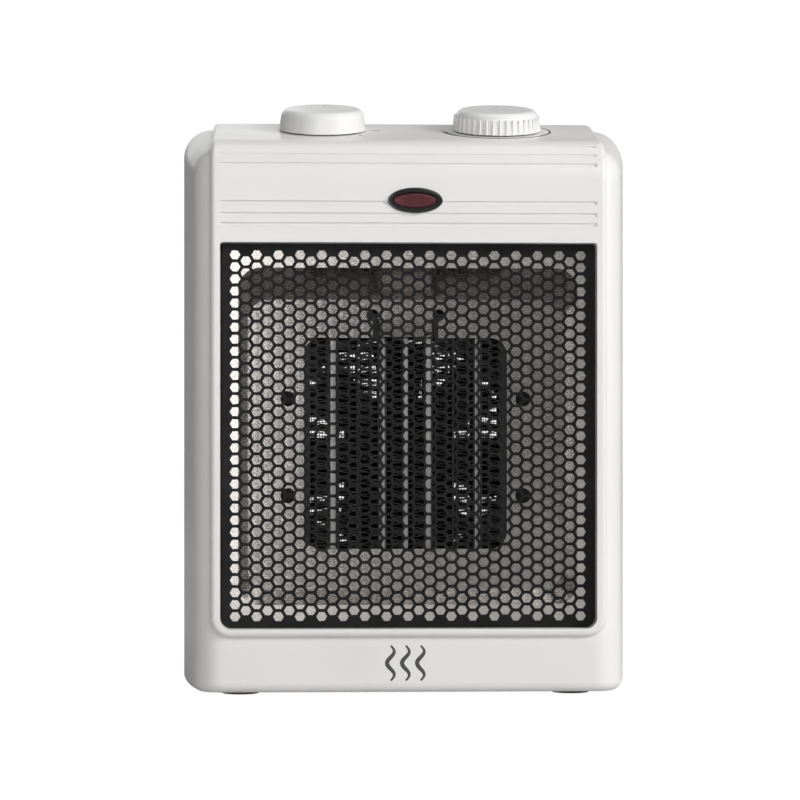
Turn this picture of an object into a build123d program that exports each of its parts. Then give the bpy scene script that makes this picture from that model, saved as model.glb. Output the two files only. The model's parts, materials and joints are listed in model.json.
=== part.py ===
from build123d import *
import os
from math import atan2, cos, degrees, radians, sin, sqrt

# Portable ceramic (PTC) fan heater, modelled in millimetres.
# +Z is up, the warm air leaves towards -Y, and the origin is on the floor under the middle.

os.makedirs("parts", exist_ok=True)

# ---------------------------------------------------------------- driving dimensions
FRONT = -67.2            # front wall of the casing
BACK = 70.0              # rear wall of the casing
BOTTOM = 2.5             # underside of the casing, the height of the feet
TOP = 242.2              # flat top of the casing
HALF_WIDTH = 95.0        # at the widest section, half way back
BOW_REACH = 80.0         # the sides are bowed: this far in front of and behind the middle ...
BOW_HALF_WIDTH = 83.6    # ... their arc has come in to this half width
WALL = 2.4
SPLIT = 10.0             # the front and rear casings meet here
DECK_FRONT = 226.7       # height where the sloping deck would meet the front wall
DECK_BACK = -6.0         # the sloping deck ends here and the flat top begins
DECK_ANGLE = degrees(atan2(TOP - DECK_FRONT, DECK_BACK - FRONT))
NOSE_RADIUS = 14.0
BASE_RADIUS = 4.0        # edge all round the flat base
SKIRT = 40.0             # the blocks are drawn this much too long below, then cut at the base
CREST_RADIUS = 60.0
HEEL_RADIUS = 20.0
SIDE_RADIUS = 12.0

PANEL = 2.9              # thickness of the raised front panel
PANEL_HALF = 82.0
PANEL_BOTTOM = 25.7
PANEL_REAR = 7.0
PANEL_FRONT = FRONT - PANEL

WINDOW_HALF = 77.9
WINDOW_LOW = 29.0
WINDOW_HIGH = 188.5
WINDOW_MID = (WINDOW_LOW + WINDOW_HIGH) / 2
WINDOW_HEIGHT = WINDOW_HIGH - WINDOW_LOW

FLANGE_HALF = 80.0       # grille and outlet tray share one outline
FLANGE_LOW = 20.0
FLANGE_HIGH = 199.0
FLANGE_MID = (FLANGE_LOW + FLANGE_HIGH) / 2
FLANGE_HEIGHT = FLANGE_HIGH - FLANGE_LOW
RIM_SCREWS = [(x, z) for x in (-60, 60) for z in (24.3, 194.6)]
INNER_FRONT = FRONT + WALL
REVEAL_RIM = 2.4         # the grille is seated on a rib this deep behind the front wall
GRILLE = 0.8
SHEET = 0.8
GRILLE_FRONT = INNER_FRONT + REVEAL_RIM
TRAY_FRONT = GRILLE_FRONT + GRILLE

PLATE_FRONT = -36.0      # back plate of the outlet tray
ELEMENT_MID = 105.6      # height of the middle of the heating element
ELEMENT_SCREWS = [(x, z) for x in (-49.9, 49.9) for z in (83.4, 124.5)]
FRAME_FRONT = -34.2
FRAME_BACK = -12.0
FRAME_HALF = 55.0
CORE_HALF_HEIGHT = 44.6
BAR_POSITIONS = (-30.8, -9.8, 9.8, 30.8)
BAR_WIDTH = 3.0
DIVIDER = 2.0            # strip between the two halves of the core
COLUMN_SEAM = 20.3       # half-gap apart, the columns of two neighbouring bars meet here

AXIS_Z = 104.0           # fan and motor axis, parallel to Y
DUCT_RADIUS = 52.0
FAN_RADIUS = 48.0
STATOR_FRONT = 46.0
STATOR_BACK = 58.0
MOTOR_SCREWS = [(x, z) for x in (-19.5, 19.5) for z in (82.0, 118.0)]

KNOB_X = 37.2            # half the distance between the knobs
KNOB_MIDDLE = 2.0        # the pair is set a little to the right
SELECTOR_X = KNOB_MIDDLE - KNOB_X
THERMOSTAT_X = KNOB_MIDDLE + KNOB_X
KNOB_Y = -30.0
KNOB_RADIUS = 19.0
KNOB_HEIGHT = 8.7
KNOB_GAP = 0.6
SHAFT_RADIUS = 3.0
BUSH_RADIUS = 4.7
SWITCH_DEPTH = 18.0

LENS_X = 2.6
LENS_Z = 205.8
LENS_HALF = 11.3         # half axes of the oval pilot light's rim
LENS_HALF_HEIGHT = 5.3
TILT_Y = 30.0
FOOT_SPOTS = [(x, y) for x in (-70, 70) for y in (-38, 46)]
HOUSING_SCREWS = [(x, z) for x in (-76, 76) for z in (19, 216)]
HANDLE_Z = 208.0
HANDLE_SIZE = (100.0, 28.0, 30.0)
GLAND_X = 50.0
GLAND_Z = 30.0
FIT = 0.1                # gap all round a part that slips into another


# ---------------------------------------------------------------- shared shapes
def upright(y):
    """Plane facing the front at depth y: local x is X, local y is Z, and its normal is -Y."""
    return Plane.XZ.offset(-y)


def deck_point(depth_y, lift=0.0):
    """Point on the deck of the front panel, lifted along the deck's normal."""
    slope = radians(DECK_ANGLE)
    surface = DECK_FRONT + (depth_y - FRONT) * sin(slope) / cos(slope) + PANEL / cos(slope)
    return depth_y - lift * sin(slope), surface + lift * cos(slope)


def control_plane(x, lift=0.0):
    """Plane on the panel's deck at a control: local z points out of the deck."""
    slope = radians(DECK_ANGLE)
    y, z = deck_point(KNOB_Y, lift)
    return Plane(origin=(x, y, z), x_dir=(1, 0, 0), z_dir=(0, -sin(slope), cos(slope)))


def side_profile(inset):
    """Side view of the casing in local (Y, Z), drawn in by inset, or out where it is negative."""
    with BuildSketch() as profile:
        with BuildLine():
            Polyline(
                (FRONT, BOTTOM - SKIRT), (FRONT, DECK_FRONT), (DECK_BACK, TOP), (BACK, TOP),
                (BACK, BOTTOM - SKIRT), close=True,
            )
        make_face()
        nose = profile.vertices().filter_by_position(Axis.X, FRONT - 1, FRONT + 1).sort_by(Axis.Y)[-1]
        fillet(nose, radius=NOSE_RADIUS)
        corners = profile.vertices()
        fillet(corners.filter_by_position(Axis.X, DECK_BACK - 1, DECK_BACK + 1), radius=CREST_RADIUS)
        corners = profile.vertices()
        fillet(corners.filter_by_position(Axis.X, BACK - 1, BACK + 1).sort_by(Axis.Y)[-1], radius=HEEL_RADIUS)
        if inset:
            offset(amount=-inset, mode=Mode.REPLACE)
    return profile.sketch


def body_block(inset):
    """Solid bounded by the casing's outer face drawn in by inset, with bowed sides."""
    middle = HALF_WIDTH - inset
    corner = BOW_HALF_WIDTH - inset
    reach = BOW_REACH
    with BuildPart() as block:
        with BuildSketch(Plane.YZ):
            add(side_profile(inset))
        extrude(amount=HALF_WIDTH + 5, both=True)
        with BuildSketch(Plane.XY.offset(BOTTOM - SKIRT - 10)):
            with BuildLine():
                ThreePointArc((-corner, -reach), (-middle, 0), (-corner, reach))
                Line((-corner, reach), (corner, reach))
                ThreePointArc((corner, reach), (middle, 0), (corner, -reach))
                Line((corner, -reach), (-corner, -reach))
            make_face()
        extrude(amount=TOP + SKIRT + 20, mode=Mode.INTERSECT)
        ends = block.faces().sort_by(Axis.X)
        fillet(ends[0].edges() + ends[-1].edges(), radius=SIDE_RADIUS - inset)
        split(bisect_by=Plane.XY.offset(BOTTOM + inset), keep=Keep.TOP)
        fillet(block.faces().sort_by(Axis.Z)[0].edges(), radius=BASE_RADIUS - inset)
    return block.part


def window_outline(grow=0.0):
    """Grille window: nearly square above, rounded below."""
    with BuildSketch() as outline:
        with Locations((0, WINDOW_MID)):
            Rectangle(2 * (WINDOW_HALF + grow), WINDOW_HEIGHT + 2 * grow)
        fillet(outline.vertices().group_by(Axis.Y)[0], radius=4.5)
        fillet(outline.vertices().group_by(Axis.Y)[-1], radius=1.2)
    return outline.sketch


def pan_screw(head_radius, head_height, shank_radius, length):
    """Cross-head screw at the origin: the head rises along +Z and the shank goes down."""
    with BuildPart() as screw:
        Cylinder(head_radius, head_height, align=(Align.CENTER, Align.CENTER, Align.MIN))
        fillet(screw.edges().group_by(Axis.Z)[-1], radius=head_height * 0.45)
        with BuildSketch(Plane.XY.offset(head_height)):
            Rectangle(head_radius * 1.1, 0.7)
            Rectangle(0.7, head_radius * 1.1)
        extrude(amount=-head_height * 0.55, mode=Mode.SUBTRACT)
        Cylinder(shank_radius, length, align=(Align.CENTER, Align.CENTER, Align.MAX))
    return screw.part


def wire(points, radius, bend):
    """Round lead along straight runs joined by arcs."""
    with BuildPart() as lead:
        with BuildLine() as route:
            FilletPolyline(*points, radius=bend)
        with BuildSketch(Plane(origin=route.line @ 0, z_dir=route.line % 0)):
            Circle(radius)
        sweep()
    return lead.part


# ---------------------------------------------------------------- casing
def seam_slice(inset, length):
    """The block drawn in by inset, cut to a slice just in front of the seam."""
    with BuildPart() as piece:
        add(body_block(inset))
        with Locations((0, SPLIT - length / 2, TOP / 2)):
            Box(3 * HALF_WIDTH, length, 2 * TOP, mode=Mode.INTERSECT)
    return piece.part


def seam_lip():
    """Ring on the rear casing that slips into the front casing."""
    with BuildPart() as ring:
        add(seam_slice(WALL / 2 + FIT, LIP_LENGTH))
        add(seam_slice(WALL, LIP_LENGTH), mode=Mode.SUBTRACT)
    return ring.part


LIP_LENGTH = 3.0
outer_block = body_block(0)
inner_block = body_block(WALL)

with BuildPart() as front_housing:
    add(outer_block)
    add(inner_block, mode=Mode.SUBTRACT)
    split(bisect_by=upright(SPLIT), keep=Keep.TOP)
    add(seam_slice(WALL / 2, LIP_LENGTH + FIT), mode=Mode.SUBTRACT)
    # bosses for the screws that hold grille and tray, and for the rear casing
    with BuildSketch(upright(INNER_FRONT - 0.1)):
        with Locations(*RIM_SCREWS):
            Circle(2.9)
    extrude(amount=-(REVEAL_RIM + GRILLE + SHEET + 0.1))
    # rib round the window that the grille is seated on
    with BuildSketch(upright(INNER_FRONT - 0.1)):
        add(window_outline(1.6))
    extrude(amount=-(REVEAL_RIM + 0.1))
    with BuildSketch(upright(INNER_FRONT - 0.1)):
        with Locations(*HOUSING_SCREWS):
            Circle(4.2)
    extrude(amount=-50)
    with BuildSketch(upright(INNER_FRONT + 50)):
        with Locations(*HOUSING_SCREWS):
            Circle(1.55)
    extrude(amount=18, mode=Mode.SUBTRACT)
    with BuildSketch(upright(TRAY_FRONT + SHEET)):
        with Locations(*RIM_SCREWS):
            Circle(1.25)
    extrude(amount=3.4, mode=Mode.SUBTRACT)
    with BuildSketch(upright(FRONT - 1)):
        add(window_outline())
        with Locations((LENS_X, LENS_Z)):
            Ellipse(LENS_HALF - 1.2, LENS_HALF_HEIGHT - 1.1)
        with Locations((-66, LENS_Z), (66, LENS_Z)):
            Circle(2.1)
    extrude(amount=-(WALL + REVEAL_RIM + 1.1), mode=Mode.SUBTRACT)
    for knob_x in (SELECTOR_X, THERMOSTAT_X):
        with BuildSketch(control_plane(knob_x)):
            Circle(BUSH_RADIUS + FIT)
        extrude(amount=-(PANEL + WALL + 2), mode=Mode.SUBTRACT)
    with BuildSketch(Plane.XY):
        with Locations(*[spot for spot in FOOT_SPOTS if spot[1] < 0]):
            Circle(3.0)
    extrude(amount=BOTTOM + WALL + 1, mode=Mode.SUBTRACT)
front_housing.part.label = "front_housing"
export_step(front_housing.part, "parts/front_housing.step")

SLOT_PITCH = 6.0
SLOT_ROWS = 19
SLOT_LENGTH = 52.0

with BuildPart() as rear_housing:
    add(outer_block)
    add(inner_block, mode=Mode.SUBTRACT)
    split(bisect_by=upright(SPLIT), keep=Keep.BOTTOM)
    add(seam_lip())
    # screw wells and the walls of the handle recess
    with BuildSketch(upright(BACK - WALL + 0.1)):
        with Locations(*HOUSING_SCREWS):
            Circle(5.2)
    extrude(amount=BACK - WALL - (INNER_FRONT + 50))
    with BuildSketch(upright(BACK - WALL + 0.1)):
        with Locations((0, HANDLE_Z)):
            RectangleRounded(HANDLE_SIZE[0] + 4.4, HANDLE_SIZE[1] + 4.4, 8.2)
    extrude(amount=HANDLE_SIZE[2] + 0.1)
    with BuildSketch(upright(BACK + 1)):
        with Locations((0, HANDLE_Z)):
            RectangleRounded(HANDLE_SIZE[0], HANDLE_SIZE[1], 6)
    extrude(amount=HANDLE_SIZE[2] + WALL - 1.2, mode=Mode.SUBTRACT)
    with BuildSketch(upright(BACK + 1)):
        with Locations(*HOUSING_SCREWS):
            Circle(3.4)
    extrude(amount=BACK + 1 - (INNER_FRONT + 50) - 3, mode=Mode.SUBTRACT)
    with BuildSketch(upright(BACK + 1)):
        with Locations(*HOUSING_SCREWS):
            Circle(1.7)
    extrude(amount=120, mode=Mode.SUBTRACT)
    # air intake: two columns of slots behind the fan
    with BuildSketch(upright(BACK + 1)):
        for side in (-1, 1):
            with Locations((side * (SLOT_LENGTH / 2 + 4), AXIS_Z)):
                with GridLocations(1, SLOT_PITCH, 1, SLOT_ROWS):
                    SlotOverall(SLOT_LENGTH, 3.2)
    extrude(amount=WALL + 2, mode=Mode.SUBTRACT)
    with BuildSketch(upright(BACK + 1)):
        with Locations((GLAND_X, GLAND_Z)):
            Circle(6.0)
    extrude(amount=WALL + 2, mode=Mode.SUBTRACT)
    with BuildSketch(Plane.XY):
        with Locations(*[spot for spot in FOOT_SPOTS if spot[1] > 0]):
            Circle(3.0)
        with Locations((0, TILT_Y)):
            Circle(3.4)
    extrude(amount=BOTTOM + WALL + 1, mode=Mode.SUBTRACT)
rear_housing.part.label = "rear_housing"
export_step(rear_housing.part, "parts/rear_housing.step")

FILTER_SIZE = (120.0, 122.0, 1.2)

with BuildPart() as intake_filter:
    with BuildSketch(upright(BACK - WALL)):
        with Locations((0, AXIS_Z)):
            RectangleRounded(FILTER_SIZE[0], FILTER_SIZE[1], 4)
    extrude(amount=FILTER_SIZE[2])
intake_filter.part.label = "intake_filter"
export_step(intake_filter.part, "parts/intake_filter.step")

# ---------------------------------------------------------------- raised front panel
SLOPE = radians(DECK_ANGLE)
NOSE_CENTRE = (FRONT + NOSE_RADIUS, DECK_FRONT - NOSE_RADIUS * (1 - sin(SLOPE)) / cos(SLOPE))
UPPER_GROOVES = (228.9, 224.8, 220.7)
LOWER_GROOVES = (204.9, 200.0, 195.9)


def panel_surface(height):
    """Depth of the panel's outer face at a height, on the flat front or round the nose."""
    rise = max(0.0, height - NOSE_CENTRE[1])
    return NOSE_CENTRE[0] - sqrt((NOSE_RADIUS + PANEL) ** 2 - rise**2)


with BuildPart() as front_panel:
    with BuildSketch(Plane.YZ):
        add(side_profile(-PANEL))
        with Locations(((PANEL_REAR - 90) / 2, (PANEL_BOTTOM + 270) / 2)):
            Rectangle(PANEL_REAR + 90, 270 - PANEL_BOTTOM, mode=Mode.INTERSECT)
    extrude(amount=PANEL_HALF, both=True)
    lower = front_panel.edges().filter_by(Axis.Y).group_by(Axis.Z)[0]
    fillet(lower, radius=8)
    flanks = front_panel.faces().filter_by(Axis.X).edges()
    rims = [
        edge for edge in flanks
        if edge.center().Y < PANEL_REAR - 0.5 and abs(edge.center().Z - PANEL_BOTTOM) > 0.5
    ]
    front_face = front_panel.faces().filter_by(Axis.Y).sort_by(Axis.Y)[0]
    rims += [
        edge for edge in front_face.edges()
        if edge.center().Z < PANEL_BOTTOM + 9 and abs(edge.center().X) < PANEL_HALF - 0.5
    ]
    fillet(rims, radius=2.2)
    add(outer_block, mode=Mode.SUBTRACT)
    with BuildSketch(upright(PANEL_FRONT - 5)):
        add(window_outline())
        with Locations((LENS_X, LENS_Z)):
            Ellipse(LENS_HALF - 1.2, LENS_HALF_HEIGHT - 1.1)
    extrude(amount=-(PANEL + 6), mode=Mode.SUBTRACT)
    for height in UPPER_GROOVES + LOWER_GROOVES:
        with BuildSketch(Plane.YZ.offset(-WINDOW_HALF)):
            with Locations((panel_surface(height), height)):
                Circle(0.75)
        extrude(amount=2 * WINDOW_HALF, mode=Mode.SUBTRACT)
    for knob_x in (SELECTOR_X, THERMOSTAT_X):
        with BuildSketch(control_plane(knob_x, 1)):
            Circle(BUSH_RADIUS + FIT)
        extrude(amount=-(PANEL + 3), mode=Mode.SUBTRACT)
    # pegs that snap through the casing
    with BuildSketch(upright(FRONT - 0.1)):
        with Locations((-66, LENS_Z), (66, LENS_Z)):
            Circle(2.0)
    extrude(amount=-(WALL + 2.5))
front_panel.part.label = "front_panel"
export_step(front_panel.part, "parts/front_panel.step")

# ---------------------------------------------------------------- outlet grille and tray
MESH_COLUMN = 4.49
MESH_ROW = 5.0
MESH_COLUMNS = 17
MESH_ROWS = 31

with BuildPart() as front_grille:
    with BuildSketch(upright(TRAY_FRONT)):
        with Locations((0, FLANGE_MID)):
            RectangleRounded(2 * FLANGE_HALF, FLANGE_HEIGHT, 4)
        with Locations(*RIM_SCREWS):
            Circle(3.0, mode=Mode.SUBTRACT)
        with Locations(*HOUSING_SCREWS):
            Circle(4.6, mode=Mode.SUBTRACT)
        with Locations((0, WINDOW_MID)):
            with GridLocations(2 * MESH_COLUMN, MESH_ROW, MESH_COLUMNS, MESH_ROWS):
                Circle(1.85, mode=Mode.SUBTRACT)
            with GridLocations(2 * MESH_COLUMN, MESH_ROW, MESH_COLUMNS - 1, MESH_ROWS - 1):
                Circle(1.85, mode=Mode.SUBTRACT)
    extrude(amount=GRILLE)
front_grille.part.label = "front_grille"
export_step(front_grille.part, "parts/front_grille.step")

MOUTH = (141.0, 140.0, 108.5)       # width, height and middle height of the tray's mouth
THROAT = (134.0, 123.0, 105.0)      # the same at the back plate
PLATE_HOLE = (86.2, 89.6)


def tray_cone(grow, front, back):
    """Tapered block between the tray's mouth and its back plate."""
    with BuildPart() as cone:
        with BuildSketch(upright(front)):
            with Locations((0, MOUTH[2])):
                RectangleRounded(MOUTH[0] + 2 * grow, MOUTH[1] + 2 * grow, 9 + grow)
        with BuildSketch(upright(back)):
            with Locations((0, THROAT[2])):
                RectangleRounded(THROAT[0] + 2 * grow, THROAT[1] + 2 * grow, 9 + grow)
        loft()
    return cone.part


with BuildPart() as outlet_tray:
    add(tray_cone(SHEET, TRAY_FRONT, PLATE_FRONT + SHEET))
    with BuildSketch(upright(TRAY_FRONT)):
        with Locations((0, FLANGE_MID)):
            RectangleRounded(2 * FLANGE_HALF, FLANGE_HEIGHT, 4)
    extrude(amount=-SHEET)
    add(tray_cone(0, TRAY_FRONT, PLATE_FRONT), mode=Mode.SUBTRACT)
    with BuildSketch(upright(TRAY_FRONT)):
        with Locations(*RIM_SCREWS):
            Circle(3.0)
        with Locations(*HOUSING_SCREWS):
            Circle(4.6)
    extrude(amount=-SHEET, mode=Mode.SUBTRACT)
    with BuildSketch(upright(PLATE_FRONT)):
        with Locations((0, ELEMENT_MID)):
            RectangleRounded(PLATE_HOLE[0], PLATE_HOLE[1], 7)
        with Locations(*ELEMENT_SCREWS):
            Circle(1.7)
        # two holes and two slots that free the bent tab above the opening
        with Locations((-14, 160), (14, 160)):
            Circle(2.6)
        with Locations((-13.2, 155), (13.2, 155)):
            Rectangle(1.6, 12)
        with Locations((0, 154)):
            Rectangle(26, 9)
    extrude(amount=-SHEET, mode=Mode.SUBTRACT)
    tab = Plane(origin=(0, PLATE_FRONT + SHEET / 2, 158.4), x_dir=(1, 0, 0), z_dir=(0, -cos(0.35), sin(0.35)))
    with BuildSketch(tab):
        with Locations((0, -4)):
            RectangleRounded(22, 8.6, 1)
    extrude(amount=SHEET / 2, both=True)
outlet_tray.part.label = "outlet_tray"
export_step(outlet_tray.part, "parts/outlet_tray.step")

with BuildPart() as rim_screws:
    for x, z in RIM_SCREWS:
        with Locations(Plane(origin=(x, TRAY_FRONT + SHEET, z), x_dir=(1, 0, 0), z_dir=(0, 1, 0))):
            add(pan_screw(3.6, 1.6, 1.2, 3.2))
rim_screws.part.label = "rim_screws"
export_step(rim_screws.part, "parts/rim_screws.step")

# ---------------------------------------------------------------- heating element
BAR_HALF_HEIGHT = 48.0
ELEMENT_FRONT = -33.5
ELEMENT_BACK = -13.5
OUTER_PLATE = 40.9

with BuildPart() as heater_frame:
    with BuildSketch(upright(FRAME_FRONT)):
        with Locations((0, ELEMENT_MID)):
            RectangleRounded(2 * FRAME_HALF, 2 * FRAME_HALF, 5)
            Rectangle(2 * OUTER_PLATE + 0.4, 2 * CORE_HALF_HEIGHT + 0.2, mode=Mode.SUBTRACT)
        with Locations(*ELEMENT_SCREWS):
            Circle(1.7, mode=Mode.SUBTRACT)
    extrude(amount=-(FRAME_BACK - FRAME_FRONT))
    # pockets that hold the ends of the heating bars, and the slots for their tabs
    for x in BAR_POSITIONS:
        with Locations((x, (ELEMENT_FRONT + ELEMENT_BACK) / 2, ELEMENT_MID)):
            Box(
                BAR_WIDTH + FIT, ELEMENT_BACK - ELEMENT_FRONT + FIT, 2 * BAR_HALF_HEIGHT + FIT,
                mode=Mode.SUBTRACT,
            )
        with Locations((x, -23, ELEMENT_MID + FRAME_HALF - 5)):
            Box(1.0, 6.6, 12, mode=Mode.SUBTRACT)
heater_frame.part.label = "heater_frame"
export_step(heater_frame.part, "parts/heater_frame.step")

with BuildPart() as heater_gasket:
    with BuildSketch(upright(FRAME_FRONT)):
        with Locations((0, ELEMENT_MID)):
            RectangleRounded(2 * FRAME_HALF, 2 * FRAME_HALF, 5)
            RectangleRounded(PLATE_HOLE[0] + 2, PLATE_HOLE[1] + 2, 6, mode=Mode.SUBTRACT)
        with Locations(*ELEMENT_SCREWS):
            Circle(1.7, mode=Mode.SUBTRACT)
        with Locations((0, 157)):
            Rectangle(34, 14, mode=Mode.SUBTRACT)
    extrude(amount=FRAME_FRONT - (PLATE_FRONT + SHEET))
heater_gasket.part.label = "heater_gasket"
export_step(heater_gasket.part, "parts/heater_gasket.step")

for number, x in enumerate(BAR_POSITIONS, start=1):
    with BuildPart() as ptc_bar:
        with Locations((x, (ELEMENT_FRONT + ELEMENT_BACK) / 2, ELEMENT_MID)):
            Box(BAR_WIDTH, ELEMENT_BACK - ELEMENT_FRONT, 2 * BAR_HALF_HEIGHT)
        fillet(ptc_bar.edges().filter_by(Axis.Z), radius=0.7)
    ptc_bar.part.label = f"ptc_bar_{number}"
    export_step(ptc_bar.part, f"parts/ptc_bar_{number}.step")

FIN_SHEET = 0.4
FIN_PITCH = 2.6
FIN_RUNS = 68


def fin_column(low, high):
    """Corrugated fin brazed between two thin plates that run from the bottom to the top."""
    ridge = FIN_PITCH / 2
    first = ELEMENT_MID - FIN_RUNS * ridge / 2
    bends = []
    for step in range(FIN_RUNS + 1):
        across = low + FIN_SHEET if step % 2 else high - FIN_SHEET
        bends.append((across, first + step * ridge))
    with BuildPart() as column:
        with BuildSketch(upright(ELEMENT_FRONT)):
            with BuildLine() as zigzag:
                Polyline(*bends)
            trace(line_width=0.3)
            for edge in (low + FIN_SHEET / 2, high - FIN_SHEET / 2):
                with Locations((edge, ELEMENT_MID)):
                    Rectangle(FIN_SHEET, 2 * CORE_HALF_HEIGHT)
            with Locations(((low + high) / 2, ELEMENT_MID)):
                Rectangle(high - low, 2 * CORE_HALF_HEIGHT, mode=Mode.INTERSECT)
        extrude(amount=-(ELEMENT_BACK - ELEMENT_FRONT))
    return column


column_edges = []
for x in BAR_POSITIONS:
    outer_bar = abs(x) > COLUMN_SEAM
    outside = OUTER_PLATE if outer_bar else COLUMN_SEAM
    inside = COLUMN_SEAM + FIT if outer_bar else DIVIDER / 2
    near, far = abs(x) - BAR_WIDTH / 2, abs(x) + BAR_WIDTH / 2
    spans = [(inside, near), (far, outside)]
    column_edges += [(-b, -a) for a, b in spans] if x < 0 else spans

for number, (low, high) in enumerate(sorted(column_edges), start=1):
    fin = fin_column(low, high)
    fin.part.label = f"fin_column_{number}"
    export_step(fin.part, f"parts/fin_column_{number}.step")

with BuildPart() as core_divider:
    with Locations((0, (ELEMENT_FRONT + ELEMENT_BACK) / 2, ELEMENT_MID)):
        Box(DIVIDER, ELEMENT_BACK - ELEMENT_FRONT, 2 * CORE_HALF_HEIGHT)
core_divider.part.label = "core_divider"
export_step(core_divider.part, "parts/core_divider.step")

with BuildPart() as electrode_tabs:
    for x in BAR_POSITIONS:
        with BuildSketch(Plane.YZ.offset(x - 0.4)):
            with Locations((-23, ELEMENT_MID + BAR_HALF_HEIGHT + 0.1)):
                Rectangle(6.3, 16, align=(Align.CENTER, Align.MIN))
            with Locations((-23, ELEMENT_MID + BAR_HALF_HEIGHT + 12.5)):
                Circle(0.9, mode=Mode.SUBTRACT)
        extrude(amount=0.8)
electrode_tabs.part.label = "electrode_tabs"
export_step(electrode_tabs.part, "parts/electrode_tabs.step")

with BuildPart() as element_screws:
    for x, z in ELEMENT_SCREWS:
        with Locations(Plane(origin=(x, PLATE_FRONT, z), x_dir=(1, 0, 0), z_dir=(0, -1, 0))):
            add(pan_screw(3.2, 2.0, 1.6, 27.5))
element_screws.part.label = "element_screws"
export_step(element_screws.part, "parts/element_screws.step")

with BuildPart() as thermal_cutoff:
    with BuildSketch(Plane.XY.offset(ELEMENT_MID + FRAME_HALF)):
        with Locations((0, -23)):
            Circle(7.6)
    extrude(amount=2.0)
    with BuildSketch(Plane.XY.offset(ELEMENT_MID + FRAME_HALF + 2)):
        with Locations((0, -23)):
            Circle(6.2)
    extrude(amount=6.5)
    with Locations((-3.4, -23, ELEMENT_MID + FRAME_HALF + 11.5), (3.4, -23, ELEMENT_MID + FRAME_HALF + 11.5)):
        Box(0.8, 4.8, 8)
thermal_cutoff.part.label = "thermal_cutoff"
export_step(thermal_cutoff.part, "parts/thermal_cutoff.step")

with BuildPart() as thermal_fuse:
    with BuildSketch(upright(-27)):
        with Locations((20.3, ELEMENT_MID + FRAME_HALF + 2.0)):
            Circle(2.0)
    extrude(amount=-10)
    with BuildSketch(upright(-32)):
        with Locations((20.3, ELEMENT_MID + FRAME_HALF + 2.0)):
            Circle(0.6)
    extrude(amount=-20)
thermal_fuse.part.label = "thermal_fuse"
export_step(thermal_fuse.part, "parts/thermal_fuse.step")

# ---------------------------------------------------------------- air duct, fan and motor
DUCT_WALL = 1.8
RING_FRONT = 12.0
RING_BACK = 36.0


def duct_cone(grow):
    """Square-to-round transition between the heating element and the fan ring."""
    with BuildPart() as cone:
        with BuildSketch(upright(FRAME_BACK)):
            with Locations((0, AXIS_Z + 1.6)):
                RectangleRounded(86 + 2 * grow, 92 + 2 * grow, 14 + grow)
        with BuildSketch(upright(RING_FRONT)):
            with Locations((0, AXIS_Z)):
                Circle(DUCT_RADIUS + grow)
        loft()
        with BuildSketch(upright(RING_FRONT)):
            with Locations((0, AXIS_Z)):
                Circle(DUCT_RADIUS + grow)
        extrude(amount=-(RING_BACK - RING_FRONT))
    return cone.part


with BuildPart() as fan_duct:
    add(duct_cone(DUCT_WALL))
    with BuildSketch(upright(FRAME_BACK)):
        with Locations((0, ELEMENT_MID)):
            RectangleRounded(2 * FRAME_HALF, 2 * FRAME_HALF, 5)
    extrude(amount=-2.4)
    add(duct_cone(0), mode=Mode.SUBTRACT)
    with BuildSketch(upright(FRAME_BACK)):
        with Locations(*ELEMENT_SCREWS):
            Circle(1.7)
    extrude(amount=-4, mode=Mode.SUBTRACT)
fan_duct.part.label = "fan_duct"
export_step(fan_duct.part, "parts/fan_duct.step")

HUB_FRONT = 17.0
HUB_BACK = 33.0
BLADES = 7

with BuildPart() as fan_blade:
    with BuildSketch(upright(HUB_FRONT)):
        with Locations((0, AXIS_Z)):
            Circle(13)
    extrude(amount=-(HUB_BACK - HUB_FRONT))
    fillet(fan_blade.edges().group_by(Axis.Y)[0], radius=4)
    for count in range(BLADES):
        turn = 360 / BLADES * count
        radial = Vector(0, 0, 1).rotate(Axis.Y, turn)
        tangent = Vector(1, 0, 0).rotate(Axis.Y, turn)
        centre = Vector(0, (HUB_FRONT + HUB_BACK) / 2, AXIS_Z)
        for distance, chord, pitch in ((11.0, 17.0, 42), (FAN_RADIUS - 1.5, 29.0, 27)):
            slant = tangent.rotate(Axis((0, 0, 0), radial), pitch)
            with BuildSketch(Plane(origin=centre + radial * distance, x_dir=slant, z_dir=radial)):
                SlotOverall(chord, 1.8)
        loft()
    with BuildSketch(upright(HUB_BACK)):
        with Locations((0, AXIS_Z)):
            Circle(10.5)
    extrude(amount=11, mode=Mode.SUBTRACT)
    with BuildSketch(upright(HUB_BACK)):
        with Locations((0, AXIS_Z)):
            Circle(4)
    extrude(amount=12)
    with BuildSketch(upright(HUB_BACK)):
        with Locations((0, AXIS_Z)):
            Circle(1.52)
    extrude(amount=13, mode=Mode.SUBTRACT)
fan_blade.part.label = "fan_blade"
export_step(fan_blade.part, "parts/fan_blade.step")

with BuildPart() as motor_shaft:
    with BuildSketch(upright(21)):
        with Locations((0, AXIS_Z)):
            Circle(1.5)
    extrude(amount=-43.5)
motor_shaft.part.label = "motor_shaft"
export_step(motor_shaft.part, "parts/motor_shaft.step")

with BuildPart() as motor_rotor:
    with BuildSketch(upright(STATOR_FRONT)):
        with Locations((0, AXIS_Z)):
            Circle(10)
            Circle(1.52, mode=Mode.SUBTRACT)
    extrude(amount=-(STATOR_BACK - STATOR_FRONT))
motor_rotor.part.label = "motor_rotor"
export_step(motor_rotor.part, "parts/motor_rotor.step")

LIMB_MID = 71.0

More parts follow.
